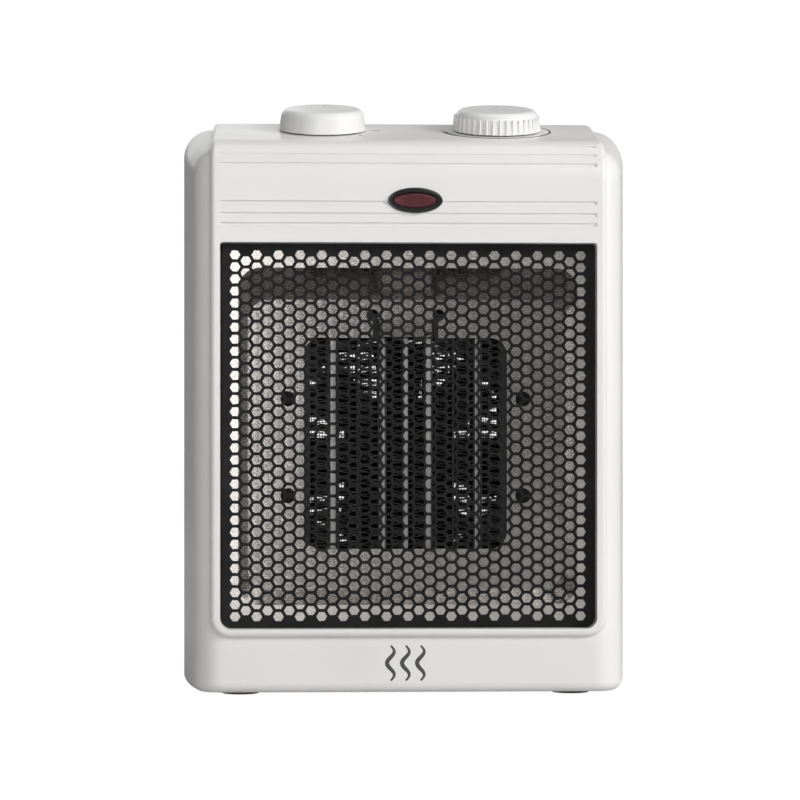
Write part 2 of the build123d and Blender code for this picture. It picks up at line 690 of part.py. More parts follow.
with BuildPart() as motor_stator:
    with BuildSketch(upright(STATOR_FRONT)):
        with Locations((0, 95)):
            RectangleRounded(48, 58, 2)
        with Locations((0, AXIS_Z)):
            Circle(10.5, mode=Mode.SUBTRACT)
        with Locations((0, 82)):
            Rectangle(30, 12, mode=Mode.SUBTRACT)
        with Locations(*MOTOR_SCREWS):
            Circle(1.7, mode=Mode.SUBTRACT)
    extrude(amount=-(STATOR_BACK - STATOR_FRONT))
motor_stator.part.label = "motor_stator"
export_step(motor_stator.part, "parts/motor_stator.step")

with BuildPart() as motor_coil:
    with Locations((0, (STATOR_FRONT + STATOR_BACK) / 2, LIMB_MID)):
        Box(27, 23, 28)
        fillet(motor_coil.edges().filter_by(Axis.X), radius=5)
        Box(30, 12.2, 10.2, mode=Mode.SUBTRACT)
motor_coil.part.label = "motor_coil"
export_step(motor_coil.part, "parts/motor_coil.step")

with BuildPart() as motor_brackets:
    for strap, stator_face in ((41.0, STATOR_FRONT), (61.5, STATOR_BACK)):
        low, high = min(strap, stator_face), max(strap + 1.5, stator_face)
        with Locations((0, strap + 0.75, AXIS_Z)):
            Box(44, 1.5, 12)
        for side in (-1, 1):
            with Locations((side * 21.25, (low + high) / 2, AXIS_Z)):
                Box(1.5, high - low, 12)
        with BuildSketch(upright(strap)):
            with Locations((0, AXIS_Z)):
                Circle(4.0)
        extrude(amount=-1.5, mode=Mode.SUBTRACT)
motor_brackets.part.label = "motor_brackets"
export_step(motor_brackets.part, "parts/motor_brackets.step")

with BuildPart() as motor_bushes:
    for strap in (41.0, 61.5):
        with BuildSketch(upright(strap - 1)):
            with Locations((0, AXIS_Z)):
                Circle(3.98)
                Circle(1.55, mode=Mode.SUBTRACT)
        extrude(amount=-3.5)
motor_bushes.part.label = "motor_bushes"
export_step(motor_bushes.part, "parts/motor_bushes.step")

MOUNT = 2.5

with BuildPart() as motor_mount:
    with BuildSketch(upright(RING_BACK)):
        with Locations((0, AXIS_Z)):
            Circle(DUCT_RADIUS + DUCT_WALL)
            Circle(DUCT_RADIUS - 2, mode=Mode.SUBTRACT)
            Rectangle(2 * DUCT_RADIUS, 8)
            Rectangle(8, 2 * DUCT_RADIUS)
        with Locations((0, 100)):
            RectangleRounded(48, 46, 4)
        with Locations((0, AXIS_Z)):
            Circle(12, mode=Mode.SUBTRACT)
    extrude(amount=-MOUNT)
    with BuildSketch(upright(RING_BACK)):
        with Locations(*MOTOR_SCREWS):
            Circle(3.4)
    extrude(amount=-(STATOR_FRONT - RING_BACK))
    with BuildSketch(upright(RING_BACK)):
        with Locations(*MOTOR_SCREWS):
            Circle(1.7)
    extrude(amount=-(STATOR_FRONT - RING_BACK), mode=Mode.SUBTRACT)
motor_mount.part.label = "motor_mount"
export_step(motor_mount.part, "parts/motor_mount.step")

with BuildPart() as motor_screws:
    for x, z in MOTOR_SCREWS:
        with Locations(Plane(origin=(x, STATOR_BACK, z), x_dir=(1, 0, 0), z_dir=(0, 1, 0))):
            add(pan_screw(2.8, 1.8, 1.6, 21))
motor_screws.part.label = "motor_screws"
export_step(motor_screws.part, "parts/motor_screws.step")

# ---------------------------------------------------------------- controls on the deck
BODY_LIFT = -(PANEL + WALL)          # the switch bodies hang under the casing wall
NUT_HEIGHT = 2.2


def knob(x, ribs):
    """Hollow control knob with a hub, and grip ribs where asked for."""
    seat = control_plane(x, KNOB_GAP)
    with BuildPart() as cap:
        with BuildSketch(seat):
            Circle(KNOB_RADIUS - 0.5)
        extrude(amount=KNOB_HEIGHT, taper=9)
        fillet(cap.faces().sort_by(Axis.Z)[-1].edges(), radius=3.2)
        if ribs:
            with BuildSketch(seat):
                with PolarLocations(KNOB_RADIUS - 0.9, ribs):
                    Circle(0.75)
            extrude(amount=KNOB_HEIGHT - 2.6, taper=4)
        with BuildSketch(seat):
            Circle(KNOB_RADIUS - 3.6)
        extrude(amount=KNOB_HEIGHT - 2.6, mode=Mode.SUBTRACT)
        with BuildSketch(control_plane(x, NUT_HEIGHT + 1.2)):
            Circle(5.4)
        extrude(amount=KNOB_GAP + KNOB_HEIGHT - 1.0 - NUT_HEIGHT - 1.2)
        with BuildSketch(control_plane(x, NUT_HEIGHT + 1.2)):
            Circle(SHAFT_RADIUS + 0.02)
        extrude(amount=4.2, mode=Mode.SUBTRACT)
        # pointer groove on the top face
        with BuildSketch(control_plane(x, KNOB_GAP + KNOB_HEIGHT)):
            with Locations((0, 10)):
                Rectangle(1.4, 9)
        extrude(amount=-0.5, mode=Mode.SUBTRACT)
    return cap


def control_shaft(x):
    """Spindle from inside the switch body up into the knob's hub."""
    with BuildPart() as spindle:
        with BuildSketch(control_plane(x, BODY_LIFT - 12)):
            Circle(SHAFT_RADIUS)
        extrude(amount=NUT_HEIGHT + 1.2 + 4.0 - BODY_LIFT + 12)
        with BuildSketch(control_plane(x, NUT_HEIGHT + 1.5)):
            with Locations((0, SHAFT_RADIUS)):
                Rectangle(6, 1.4)
        extrude(amount=6, mode=Mode.SUBTRACT)
    return spindle


def control_body(x, width, length):
    """Switch case with a threaded neck through casing and panel, and a bore for the spindle."""
    with BuildPart() as case:
        with BuildSketch(control_plane(x, BODY_LIFT)):
            RectangleRounded(width, length, 2)
        extrude(amount=-SWITCH_DEPTH)
        with BuildSketch(control_plane(x, BODY_LIFT)):
            Circle(BUSH_RADIUS)
        extrude(amount=NUT_HEIGHT + 0.4 - BODY_LIFT)
        with BuildSketch(control_plane(x, NUT_HEIGHT + 1)):
            Circle(SHAFT_RADIUS + 0.05)
        extrude(amount=-(NUT_HEIGHT + 1 - BODY_LIFT + 12.5), mode=Mode.SUBTRACT)
    return case


selector_knob = knob(SELECTOR_X, 0)
selector_knob.part.label = "selector_knob"
export_step(selector_knob.part, "parts/selector_knob.step")

thermostat_knob = knob(THERMOSTAT_X, 40)
thermostat_knob.part.label = "thermostat_knob"
export_step(thermostat_knob.part, "parts/thermostat_knob.step")

selector_shaft = control_shaft(SELECTOR_X)
selector_shaft.part.label = "selector_shaft"
export_step(selector_shaft.part, "parts/selector_shaft.step")

thermostat_spindle = control_shaft(THERMOSTAT_X)
thermostat_spindle.part.label = "thermostat_spindle"
export_step(thermostat_spindle.part, "parts/thermostat_spindle.step")

selector_switch = control_body(SELECTOR_X, 30, 30)
selector_switch.part.label = "selector_switch"
export_step(selector_switch.part, "parts/selector_switch.step")

thermostat_body = control_body(THERMOSTAT_X, 26, 18)
thermostat_body.part.label = "thermostat_body"
export_step(thermostat_body.part, "parts/thermostat_body.step")

with BuildPart() as selector_terminals:
    with BuildSketch(control_plane(SELECTOR_X, BODY_LIFT - SWITCH_DEPTH)):
        with PolarLocations(10, 4, start_angle=45):
            Rectangle(0.8, 6.3)
    extrude(amount=-8)
selector_terminals.part.label = "selector_terminals"
export_step(selector_terminals.part, "parts/selector_terminals.step")

with BuildPart() as thermostat_bimetal:
    with BuildSketch(control_plane(THERMOSTAT_X, BODY_LIFT - SWITCH_DEPTH)):
        with Locations((-9, 0)):
            Rectangle(6, 8)
    extrude(amount=-3)
    with BuildSketch(control_plane(THERMOSTAT_X, BODY_LIFT - SWITCH_DEPTH - 3)):
        with Locations((4, 0)):
            Rectangle(32, 6)
    extrude(amount=-1)
    with BuildSketch(control_plane(THERMOSTAT_X, BODY_LIFT - SWITCH_DEPTH - 4)):
        with Locations((17, 0)):
            Circle(2)
    extrude(amount=-1.2)
thermostat_bimetal.part.label = "thermostat_bimetal"
export_step(thermostat_bimetal.part, "parts/thermostat_bimetal.step")

with BuildPart() as control_nuts:
    for knob_x in (SELECTOR_X, THERMOSTAT_X):
        with BuildSketch(control_plane(knob_x)):
            RegularPolygon(7.5, 6)
            Circle(BUSH_RADIUS + 0.02, mode=Mode.SUBTRACT)
        extrude(amount=NUT_HEIGHT)
control_nuts.part.label = "control_nuts"
export_step(control_nuts.part, "parts/control_nuts.step")

# ---------------------------------------------------------------- pilot light
with BuildPart() as pilot_bezel:
    with BuildSketch(upright(PANEL_FRONT)):
        with Locations((LENS_X, LENS_Z)):
            Ellipse(LENS_HALF, LENS_HALF_HEIGHT)
    extrude(amount=0.9)
    fillet(pilot_bezel.edges().group_by(Axis.Y)[0], radius=0.6)
    with BuildSketch(upright(PANEL_FRONT)):
        with Locations((LENS_X, LENS_Z)):
            Ellipse(LENS_HALF - 1.3, LENS_HALF_HEIGHT - 1.2)
    extrude(amount=-12)
    with BuildSketch(upright(PANEL_FRONT - 1)):
        with Locations((LENS_X, LENS_Z)):
            Ellipse(LENS_HALF - 2.1, LENS_HALF_HEIGHT - 2.0)
    extrude(amount=-14, mode=Mode.SUBTRACT)
pilot_bezel.part.label = "pilot_bezel"
export_step(pilot_bezel.part, "parts/pilot_bezel.step")

with BuildPart() as pilot_lens:
    with BuildSketch(upright(PANEL_FRONT + 2.2)):
        with Locations((LENS_X, LENS_Z)):
            Ellipse(LENS_HALF - 2.15, LENS_HALF_HEIGHT - 2.05)
    extrude(amount=2.6)
    fillet(pilot_lens.edges().group_by(Axis.Y)[0], radius=0.9)
pilot_lens.part.label = "pilot_lens"
export_step(pilot_lens.part, "parts/pilot_lens.step")

with BuildPart() as neon_lamp:
    with BuildSketch(upright(PANEL_FRONT + 3)):
        with Locations((LENS_X, LENS_Z)):
            Circle(2.2)
    extrude(amount=-13)
    fillet(neon_lamp.edges().group_by(Axis.Y)[0], radius=1.6)
neon_lamp.part.label = "neon_lamp"
export_step(neon_lamp.part, "parts/neon_lamp.step")

with BuildPart() as lamp_holder:
    with BuildSketch(upright(PANEL_FRONT + 12)):
        with Locations((LENS_X, LENS_Z)):
            Ellipse(LENS_HALF - 1.3, LENS_HALF_HEIGHT - 1.2)
            Circle(2.3, mode=Mode.SUBTRACT)
    extrude(amount=-4)
lamp_holder.part.label = "lamp_holder"
export_step(lamp_holder.part, "parts/lamp_holder.step")

# ---------------------------------------------------------------- tip-over switch in the base
FLOOR = BOTTOM + WALL                # inner face of the base
CAVITY_TOP = 20.0
TILT_TOP = 26.9
STEM_TOP = 30.0
PLUNGER_FOOT = 0.05                  # the plunger's rounded end is just off the floor
COLLAR_LOW = 9.5
COLLAR_HIGH = 11.0

with BuildPart() as tilt_switch_body:
    with BuildSketch(Plane.XY.offset(FLOOR)):
        with Locations((0, TILT_Y)):
            RectangleRounded(30, 18, 2)
    extrude(amount=TILT_TOP - FLOOR)
    # the contact block beside the stem
    with Locations((8.5, TILT_Y, TILT_TOP + 3)):
        Box(11, 12, 6)
    with BuildSketch(Plane.XY.offset(FLOOR)):
        with Locations((0, TILT_Y)):
            Circle(5.6)
    extrude(amount=CAVITY_TOP - FLOOR, mode=Mode.SUBTRACT)
    with BuildSketch(Plane.XY.offset(FLOOR)):
        with Locations((0, TILT_Y)):
            Circle(1.8)
    extrude(amount=TILT_TOP - FLOOR, mode=Mode.SUBTRACT)
tilt_switch_body.part.label = "tilt_switch_body"
export_step(tilt_switch_body.part, "parts/tilt_switch_body.step")

with BuildPart() as tilt_plunger:
    with BuildSketch(Plane.XY.offset(PLUNGER_FOOT)):
        with Locations((0, TILT_Y)):
            Circle(3.0)
    extrude(amount=10.0)
    fillet(tilt_plunger.edges().group_by(Axis.Z)[0], radius=1.2)
    with BuildSketch(Plane.XY.offset(COLLAR_LOW)):
        with Locations((0, TILT_Y)):
            Circle(5.0)
    extrude(amount=COLLAR_HIGH - COLLAR_LOW)
    with BuildSketch(Plane.XY.offset(COLLAR_HIGH)):
        with Locations((0, TILT_Y)):
            Circle(1.5)
    extrude(amount=STEM_TOP - COLLAR_HIGH)
tilt_plunger.part.label = "tilt_plunger"
export_step(tilt_plunger.part, "parts/tilt_plunger.step")

SPRING_LOW = 11.4
SPRING_HIGH = 19.6

with BuildPart() as tilt_spring:
    with BuildLine() as coil:
        Helix(pitch=(SPRING_HIGH - SPRING_LOW) / 5, height=SPRING_HIGH - SPRING_LOW, radius=3.9,
              center=(0, TILT_Y, SPRING_LOW))
    with BuildSketch(Plane(origin=coil.line @ 0, z_dir=coil.line % 0)):
        Circle(0.35)
    sweep(is_frenet=True)
tilt_spring.part.label = "tilt_spring"
export_step(tilt_spring.part, "parts/tilt_spring.step")

# ---------------------------------------------------------------- internal wiring
LEAD_RADIUS = 1.1


def lead(name, points, bend):
    """One insulated lead, made whole along its real route."""
    piece = wire(points, LEAD_RADIUS, bend)
    piece.label = name
    export_step(piece, f"parts/{name}.step")


lead("lead_supply", [(GLAND_X, 20.9, 12), (GLAND_X, 2, 12), (70, -4, 42), (74, -4, 150), (70, -10, 188),
                     (46, -17.5, 198), (46, -17.5, 216.4)], 6)
lead("lead_motor", [(-44, -20, 207), (-46, -14, 192), (-60, 4, 172), (-61, 6, 100), (-58, 18, 62),
                    (-40, 50, 46), (-24, 61, 58), (-14.6, 61, 70)], 6)
lead("lead_heater", [(-38, -23, 206.5), (-38, -23, 192), (BAR_POSITIONS[0], -23, 182),
                     (BAR_POSITIONS[0], -23, 169.9)], 4)

# ---------------------------------------------------------------- feet, cord inlet and casing screws
with BuildPart() as feet:
    with BuildSketch(Plane.XY):
        with Locations(*FOOT_SPOTS):
            Circle(8)
    extrude(amount=BOTTOM)
    fillet(feet.edges().group_by(Axis.Z)[0], radius=0.8)
    with BuildSketch(Plane.XY.offset(BOTTOM)):
        with Locations(*FOOT_SPOTS):
            Circle(2.9)
    extrude(amount=WALL)
    with BuildSketch(Plane.XY.offset(FLOOR)):
        with Locations(*FOOT_SPOTS):
            Circle(4.0)
    extrude(amount=1.6)
feet.part.label = "feet"
export_step(feet.part, "parts/feet.step")

CORD_BORE = 3.6

with BuildPart() as cord_gland:
    with BuildSketch(upright(BACK + 3.0)):
        with Locations((GLAND_X, GLAND_Z)):
            Circle(9.0)
    extrude(amount=3.0)
    fillet(cord_gland.edges().group_by(Axis.Y)[-1], radius=1.5)
    with BuildSketch(upright(BACK)):
        with Locations((GLAND_X, GLAND_Z)):
            Circle(5.9)
    extrude(amount=WALL)
    with BuildSketch(upright(BACK - WALL)):
        with Locations((GLAND_X, GLAND_Z)):
            Circle(8.0)
    extrude(amount=5)
    with BuildSketch(upright(BACK + 4.0)):
        with Locations((GLAND_X, GLAND_Z)):
            Circle(CORD_BORE)
    extrude(amount=20, mode=Mode.SUBTRACT)
cord_gland.part.label = "cord_gland"
export_step(cord_gland.part, "parts/cord_gland.step")

with BuildPart() as cord_clamp:
    with Locations((GLAND_X, 46, FLOOR + 4)):
        Box(30, 10, 8)
    with BuildSketch(upright(52)):
        with Locations((GLAND_X, FLOOR + 8)):
            Circle(CORD_BORE)
    extrude(amount=12, mode=Mode.SUBTRACT)
cord_clamp.part.label = "cord_clamp"
export_step(cord_clamp.part, "parts/cord_clamp.step")

with BuildPart() as terminal_block:
    with Locations((GLAND_X, 28, FLOOR + 7)):
        Box(30, 14, 14)
    with BuildSketch(upright(20)):
        with Locations((GLAND_X, FLOOR + 7)):
            with GridLocations(9, 1, 3, 1):
                Circle(2.0)
    extrude(amount=-16, mode=Mode.SUBTRACT)
    with BuildSketch(Plane.XY.offset(FLOOR + 14)):
        with Locations((GLAND_X, 28)):
            with GridLocations(9, 6, 3, 2):
                Circle(1.8)
    extrude(amount=-3, mode=Mode.SUBTRACT)
terminal_block.part.label = "terminal_block"
export_step(terminal_block.part, "parts/terminal_block.step")

with BuildPart() as housing_screws:
    for x, z in HOUSING_SCREWS:
        with Locations(Plane(origin=(x, INNER_FRONT + 53, z), x_dir=(1, 0, 0), z_dir=(0, 1, 0))):
            add(pan_screw(3.0, 2.0, 1.5, 16))
housing_screws.part.label = "housing_screws"
export_step(housing_screws.part, "parts/housing_screws.step")
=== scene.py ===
import json
from math import atan2, cos, pi, radians, sin, sqrt

import bmesh
import bpy
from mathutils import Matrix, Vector
from mathutils.bvhtree import BVHTree


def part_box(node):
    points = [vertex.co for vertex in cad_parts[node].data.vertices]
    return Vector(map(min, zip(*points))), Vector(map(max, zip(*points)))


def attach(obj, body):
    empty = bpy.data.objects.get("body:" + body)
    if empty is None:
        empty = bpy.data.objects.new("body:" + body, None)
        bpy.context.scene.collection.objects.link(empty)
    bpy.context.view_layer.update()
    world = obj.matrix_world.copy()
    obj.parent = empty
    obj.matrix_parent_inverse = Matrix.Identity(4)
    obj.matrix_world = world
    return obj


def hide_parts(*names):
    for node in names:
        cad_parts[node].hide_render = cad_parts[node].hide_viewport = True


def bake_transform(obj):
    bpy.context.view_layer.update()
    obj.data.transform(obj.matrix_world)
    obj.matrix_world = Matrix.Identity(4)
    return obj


# Looks of a portable ceramic fan heater: metres, +Z up, the outlet faces -Y.

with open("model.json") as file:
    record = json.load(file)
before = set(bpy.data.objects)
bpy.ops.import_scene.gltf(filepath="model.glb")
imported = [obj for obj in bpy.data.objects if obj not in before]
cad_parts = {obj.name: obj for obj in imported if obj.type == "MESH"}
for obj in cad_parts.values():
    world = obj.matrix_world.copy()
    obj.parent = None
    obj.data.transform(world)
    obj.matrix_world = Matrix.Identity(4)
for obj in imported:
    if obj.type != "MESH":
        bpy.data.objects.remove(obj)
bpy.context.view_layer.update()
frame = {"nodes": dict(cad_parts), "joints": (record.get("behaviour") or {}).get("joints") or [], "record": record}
MM = 0.001


# ---------------------------------------------------------------- node material helpers
class Paint:
    """A Principled material with named shortcuts for its procedural nodes."""

    def __init__(self, name, colour, roughness, metallic=0.0):
        self.material = bpy.data.materials.new(name)
        self.material.use_nodes = True
        self.tree = self.material.node_tree
        self.nodes = self.tree.nodes
        self.shader = self.nodes["Principled BSDF"]
        self.shader.inputs["Base Color"].default_value = (*colour, 1)
        self.shader.inputs["Roughness"].default_value = roughness
        self.shader.inputs["Metallic"].default_value = metallic
        self.colour = colour
        self.bump_chain = None
        self.place = self.nodes.new("ShaderNodeTexCoord").outputs["Object"]

    def link(self, source, target):
        self.tree.links.new(source, target)

    def stretched(self, scale):
        """Object coordinates scaled by a different number along each axis."""
        mapping = self.nodes.new("ShaderNodeMapping")
        mapping.inputs["Scale"].default_value = scale
        self.link(self.place, mapping.inputs["Vector"])
        return mapping.outputs["Vector"]

    def noise(self, scale, detail=3.0, stretch=(1, 1, 1)):
        node = self.nodes.new("ShaderNodeTexNoise")
        node.inputs["Scale"].default_value = scale
        node.inputs["Detail"].default_value = detail
        self.link(self.stretched(stretch), node.inputs["Vector"])
        return node.outputs["Fac"]

    def ramp(self, source, low, high, positions=(0.3, 0.7)):
        """Maps a grey value to a blend between two colours or greys."""
        node = self.nodes.new("ShaderNodeValToRGB")
        for stop, place, value in zip(node.color_ramp.elements, positions, (low, high)):
            stop.position = place
            stop.color = (*value, 1) if isinstance(value, tuple) else (value, value, value, 1)
        self.link(source, node.inputs["Fac"])
        return node.outputs["Color"]

    def vary_colour(self, source, low, high, positions=(0.3, 0.7)):
        self.link(self.ramp(source, low, high, positions), self.shader.inputs["Base Color"])

    def vary_roughness(self, source, low, high):
        self.link(self.ramp(source, low, high), self.shader.inputs["Roughness"])

    def bump(self, source, strength, distance):
        node = self.nodes.new("ShaderNodeBump")
        node.inputs["Strength"].default_value = strength
        node.inputs["Distance"].default_value = distance
        self.link(source, node.inputs["Height"])
        if self.bump_chain:
            self.link(self.bump_chain, node.inputs["Normal"])
        self.bump_chain = node.outputs["Normal"]
        self.link(self.bump_chain, self.shader.inputs["Normal"])


def tinted(colour, factor):
    return tuple(min(1.0, channel * factor) for channel in colour)


def moulded(name, colour, roughness, grain=900, depth=0.00006, coat=0.0):
    """Injection-moulded plastic: fine spark-eroded grain, faint cloudiness, handled gloss."""
    paint = Paint(name, colour, roughness)
    paint.vary_colour(paint.noise(14), tinted(colour, 0.975), tinted(colour, 1.015))
    paint.vary_roughness(paint.noise(45, 5), roughness - 0.05, roughness + 0.07)
    paint.bump(paint.noise(grain, 4), 0.35, depth)
    paint.shader.inputs["Coat Weight"].default_value = coat
    return paint.material


def metal(name, colour, roughness, stretch=(1, 1, 1), scale=600, depth=0.00003):
    """Sheet metal with rolling or brushing marks, and slow changes of tone."""
    paint = Paint(name, colour, roughness, metallic=1.0)
    lines = paint.noise(scale, 2, stretch)
    paint.vary_colour(paint.noise(30, 4), tinted(colour, 0.86), colour)
    paint.vary_roughness(lines, roughness - 0.06, roughness + 0.1)
    paint.bump(lines, 0.15, depth)
    return paint.material


def powder_coat(name, colour, roughness):
    """Baked powder coat with orange-peel and a few dusty patches."""
    paint = Paint(name, colour, roughness)
    paint.vary_colour(paint.noise(70, 6), colour, tinted(colour, 2.2), (0.45, 0.8))
    paint.vary_roughness(paint.noise(160, 3), roughness - 0.08, roughness + 0.12)
    paint.bump(paint.noise(1500, 2), 0.3, 0.00004)
    paint.shader.inputs["Specular IOR Level"].default_value = 0.16
    return paint.material


def winding(name, colour):
    """Enamelled wire laid side by side, with painted shade darkening the grooves between turns."""
    paint = Paint(name, colour, 0.28, metallic=0.9)
    waves = paint.nodes.new("ShaderNodeTexWave")
    waves.inputs["Scale"].default_value = 420
    waves.inputs["Distortion"].default_value = 1.2
    waves.bands_direction = "X"
    paint.link(paint.place, waves.inputs["Vector"])
    # painted shade: the wire is darkened in the wave's troughs, the grooves between turns where the bump dips
    paint.vary_colour(waves.outputs["Fac"], tinted(colour, 0.45), colour)
    paint.bump(waves.outputs["Fac"], 0.8, 0.0002)
    return paint.material


def clear(name, colour, roughness, transmission):
    """Tinted transparent plastic or glass with faint moulding streaks."""
    paint = Paint(name, colour, roughness)
    paint.vary_colour(paint.noise(220, 2), tinted(colour, 0.8), tinted(colour, 1.2))
    paint.shader.inputs["Transmission Weight"].default_value = transmission
    paint.shader.inputs["IOR"].default_value = 1.49
    paint.bump(paint.noise(300, 2), 0.1, 0.00005)
    return paint.material


MATERIALS = {
    "casing_white": moulded("casing_white", (0.80, 0.79, 0.78), 0.36, coat=0.1),
    "knob_white": moulded("knob_white", (0.82, 0.815, 0.81), 0.34, grain=1200, coat=0.1),
    "grille_black": powder_coat("grille_black", (0.006, 0.006, 0.006), 0.42),
    "tray_steel": metal("tray_steel", (0.58, 0.555, 0.53), 0.2, (1, 1, 14), 420),
    "screw_black": powder_coat("screw_black", (0.008, 0.008, 0.008), 0.4),
    "filter_net": moulded("filter_net", (0.03, 0.03, 0.03), 0.6),
    "screw_steel": metal("screw_steel", (0.16, 0.16, 0.17), 0.4),
    "frame_black": moulded("frame_black", (0.018, 0.018, 0.018), 0.5),
    # painted shade: the fins' near-black tone stands for the dark depth of the element behind the grille, not
    # aluminium's own colour; the bars of the same metal stay lighter
    "fin_aluminium": metal("fin_aluminium", (0.06, 0.06, 0.06), 0.36, (1, 1, 6), 900),
    "bar_aluminium": metal("bar_aluminium", (0.42, 0.41, 0.40), 0.3, (1, 1, 0.05), 700),
    "gasket_grey": moulded("gasket_grey", (0.08, 0.075, 0.07), 0.7),
    "duct_plastic": moulded("duct_plastic", (0.03, 0.03, 0.032), 0.5),
    "fan_plastic": moulded("fan_plastic", (0.30, 0.30, 0.30), 0.42),
    "steel": metal("steel", (0.62, 0.61, 0.6), 0.3),
    "lamination": metal("lamination", (0.2, 0.2, 0.22), 0.45, (1, 40, 1), 300, 0.0001),
    "copper_winding": winding("copper_winding", (0.62, 0.27, 0.12)),
    "brass": metal("brass", (0.74, 0.56, 0.26), 0.3),
    "switch_plastic": moulded("switch_plastic", (0.62, 0.58, 0.48), 0.5),
    "bezel_black": moulded("bezel_black", (0.006, 0.006, 0.006), 0.14, coat=0.6),
    "lens_red": clear("lens_red", (0.14, 0.03, 0.04), 0.16, 0.3),
    "lamp_glass": clear("lamp_glass", (0.85, 0.6, 0.4), 0.08, 0.8),
    "foot_grey": moulded("foot_grey", (0.45, 0.45, 0.44), 0.7, grain=700),
    "rubber_black": moulded("rubber_black", (0.015, 0.015, 0.015), 0.75, grain=700),
    "lead_insulation": moulded("lead_insulation", (0.42, 0.38, 0.3), 0.6),
    "ceramic_white": moulded("ceramic_white", (0.7, 0.68, 0.62), 0.75, grain=500),
}

node_slots = {part["node"]: part["material_slot"] for part in frame["record"]["subparts"]}
for node, item in frame["nodes"].items():
    for holder in item.material_slots:
        holder.material = MATERIALS[node_slots[node]]


# ---------------------------------------------------------------- mesh helpers
def new_piece(name, mesh, slot, body="casing", material=None):
    """Puts a finished bmesh into the scene as a piece, riding on a body unless body is None."""
    data = bpy.data.meshes.new(name)
    mesh.to_mesh(data)
    mesh.free()
    piece = bpy.data.objects.new(name, data)
    bpy.context.scene.collection.objects.link(piece)
    piece.data.materials.append(material or MATERIALS[slot])
    if body:
        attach(piece, body)
    return piece


def smooth(piece):
    for face in piece.data.polygons:
        face.use_smooth = True


# ---------------------------------------------------------------- hexagonal outlet mesh
ROW_PITCH = 5.0 * MM
COLUMN_PITCH = 4.49 * MM
COLUMNS, ROWS = 33, 31
OPEN_SHARE = 0.745  # of a cell's width, the rest is strand
SHEET_MIDDLE = 108.75 * MM
SHEET_CORNER = 4 * MM
STRAND_EDGE = 0.22 * MM


def hex_grille():
    """Perforated sheet: flat-topped hexagonal holes in staggered columns inside a solid border."""
    low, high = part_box("front_grille")
    front = low[1]
    middle = Vector((0, front, SHEET_MIDDLE))
    mesh = bmesh.new()
    corner = ROW_PITCH / sqrt(3)
    stretch = COLUMN_PITCH / (1.5 * corner)
    ring = [Vector((cos(k * pi / 3) * corner * stretch, 0, sin(k * pi / 3) * corner)) for k in range(6)]
    for across in range(COLUMNS):
        odd = across % 2
        for up in range(ROWS - odd):
            centre = middle + Vector((
                (across - (COLUMNS - 1) / 2) * COLUMN_PITCH, 0, (up - (ROWS - 1 - odd) / 2) * ROW_PITCH))
            outer = [mesh.verts.new(centre + point) for point in ring]
            inner = [mesh.verts.new(centre + point * OPEN_SHARE) for point in ring]
            for k in range(6):
                after = (k + 1) % 6
                mesh.faces.new((outer[k], outer[after], inner[after], inner[k]))
    bmesh.ops.remove_doubles(mesh, verts=mesh.verts, dist=0.05 * MM)
    # the ragged outside of the cells is joined to the rounded outline of the sheet
    rim = [edge for edge in mesh.edges if len(edge.link_faces) == 1]
    hole_reach = corner * OPEN_SHARE * 1.02  # the holes' own edges are a little shorter than this
    ragged = [edge for edge in rim if edge.calc_length() > hole_reach]
    half, floor, top, bend = high[0], low[2], high[2], SHEET_CORNER
    outline = []
    for x, z, start in ((half, top, 0), (-half, top, 90), (-half, floor, 180), (half, floor, 270)):
        for step in range(5):
            angle = radians(start + 22.5 * step)
            outline.append(mesh.verts.new((
                x - bend * (1 if x > 0 else -1) + bend * cos(angle), front,
                z - bend * (1 if z > middle.z else -1) + bend * sin(angle))))
    border = [mesh.edges.new((a, b)) for a, b in zip(outline, outline[1:] + outline[:1])]
    bmesh.ops.triangle_fill(mesh, use_beauty=True, use_dissolve=False, edges=ragged + border)
    bmesh.ops.recalc_face_normals(mesh, faces=mesh.faces)
    if sum(face.normal.y for face in mesh.faces) > 0:
        bmesh.ops.reverse_faces(mesh, faces=mesh.faces)
    piece = new_piece("hex_grille", mesh, "grille_black")
    thick = piece.modifiers.new("thickness", "SOLIDIFY")
    thick.thickness = high[1] - low[1]
    thick.offset = -1
    edge = piece.modifiers.new("rounded strands", "BEVEL")
    edge.width = STRAND_EDGE
    edge.segments = 2
    edge.angle_limit = radians(50)
    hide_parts("front_grille")


hex_grille()


# ---------------------------------------------------------------- printed marks
INK_LIFT = 0.06 * MM
INK = moulded("printed_ink", (0.06, 0.06, 0.062), 0.55)


def ribbon(mesh, middle, across, outward, width):
    """Thin raised strip of ink along a line of points; width is one number or one for each point."""
    widths = width if isinstance(width, list) else [width] * len(middle)
    rows = []
    for point, side, out, wide in zip(middle, across, outward, widths):
        rows.append([mesh.verts.new(point + side * (wide * k / 2) + out * lift)
                     for k, lift in ((-1, 0), (-0.85, INK_LIFT), (0.85, INK_LIFT), (1, 0))])
    for near, far in zip(rows, rows[1:]):
        for k in range(3):
            mesh.faces.new((near[k], near[k + 1], far[k + 1], far[k]))
    for row in (rows[0], rows[-1]):
        mesh.faces.new(row)


def surface_of(node):
    mesh = bmesh.new()
    mesh.from_mesh(frame["nodes"][node].data)
    tree = BVHTree.FromBMesh(mesh)
    mesh.free()
    return tree


WAVE_SPACING = 6.2  # millimetres, as are the next four
WAVE_FOOT = 7.5
WAVE_HEIGHT = 14.5
WAVE_SWAY = 1.5
WAVE_OFFSET = -1.3
WAVE_STEPS = 24


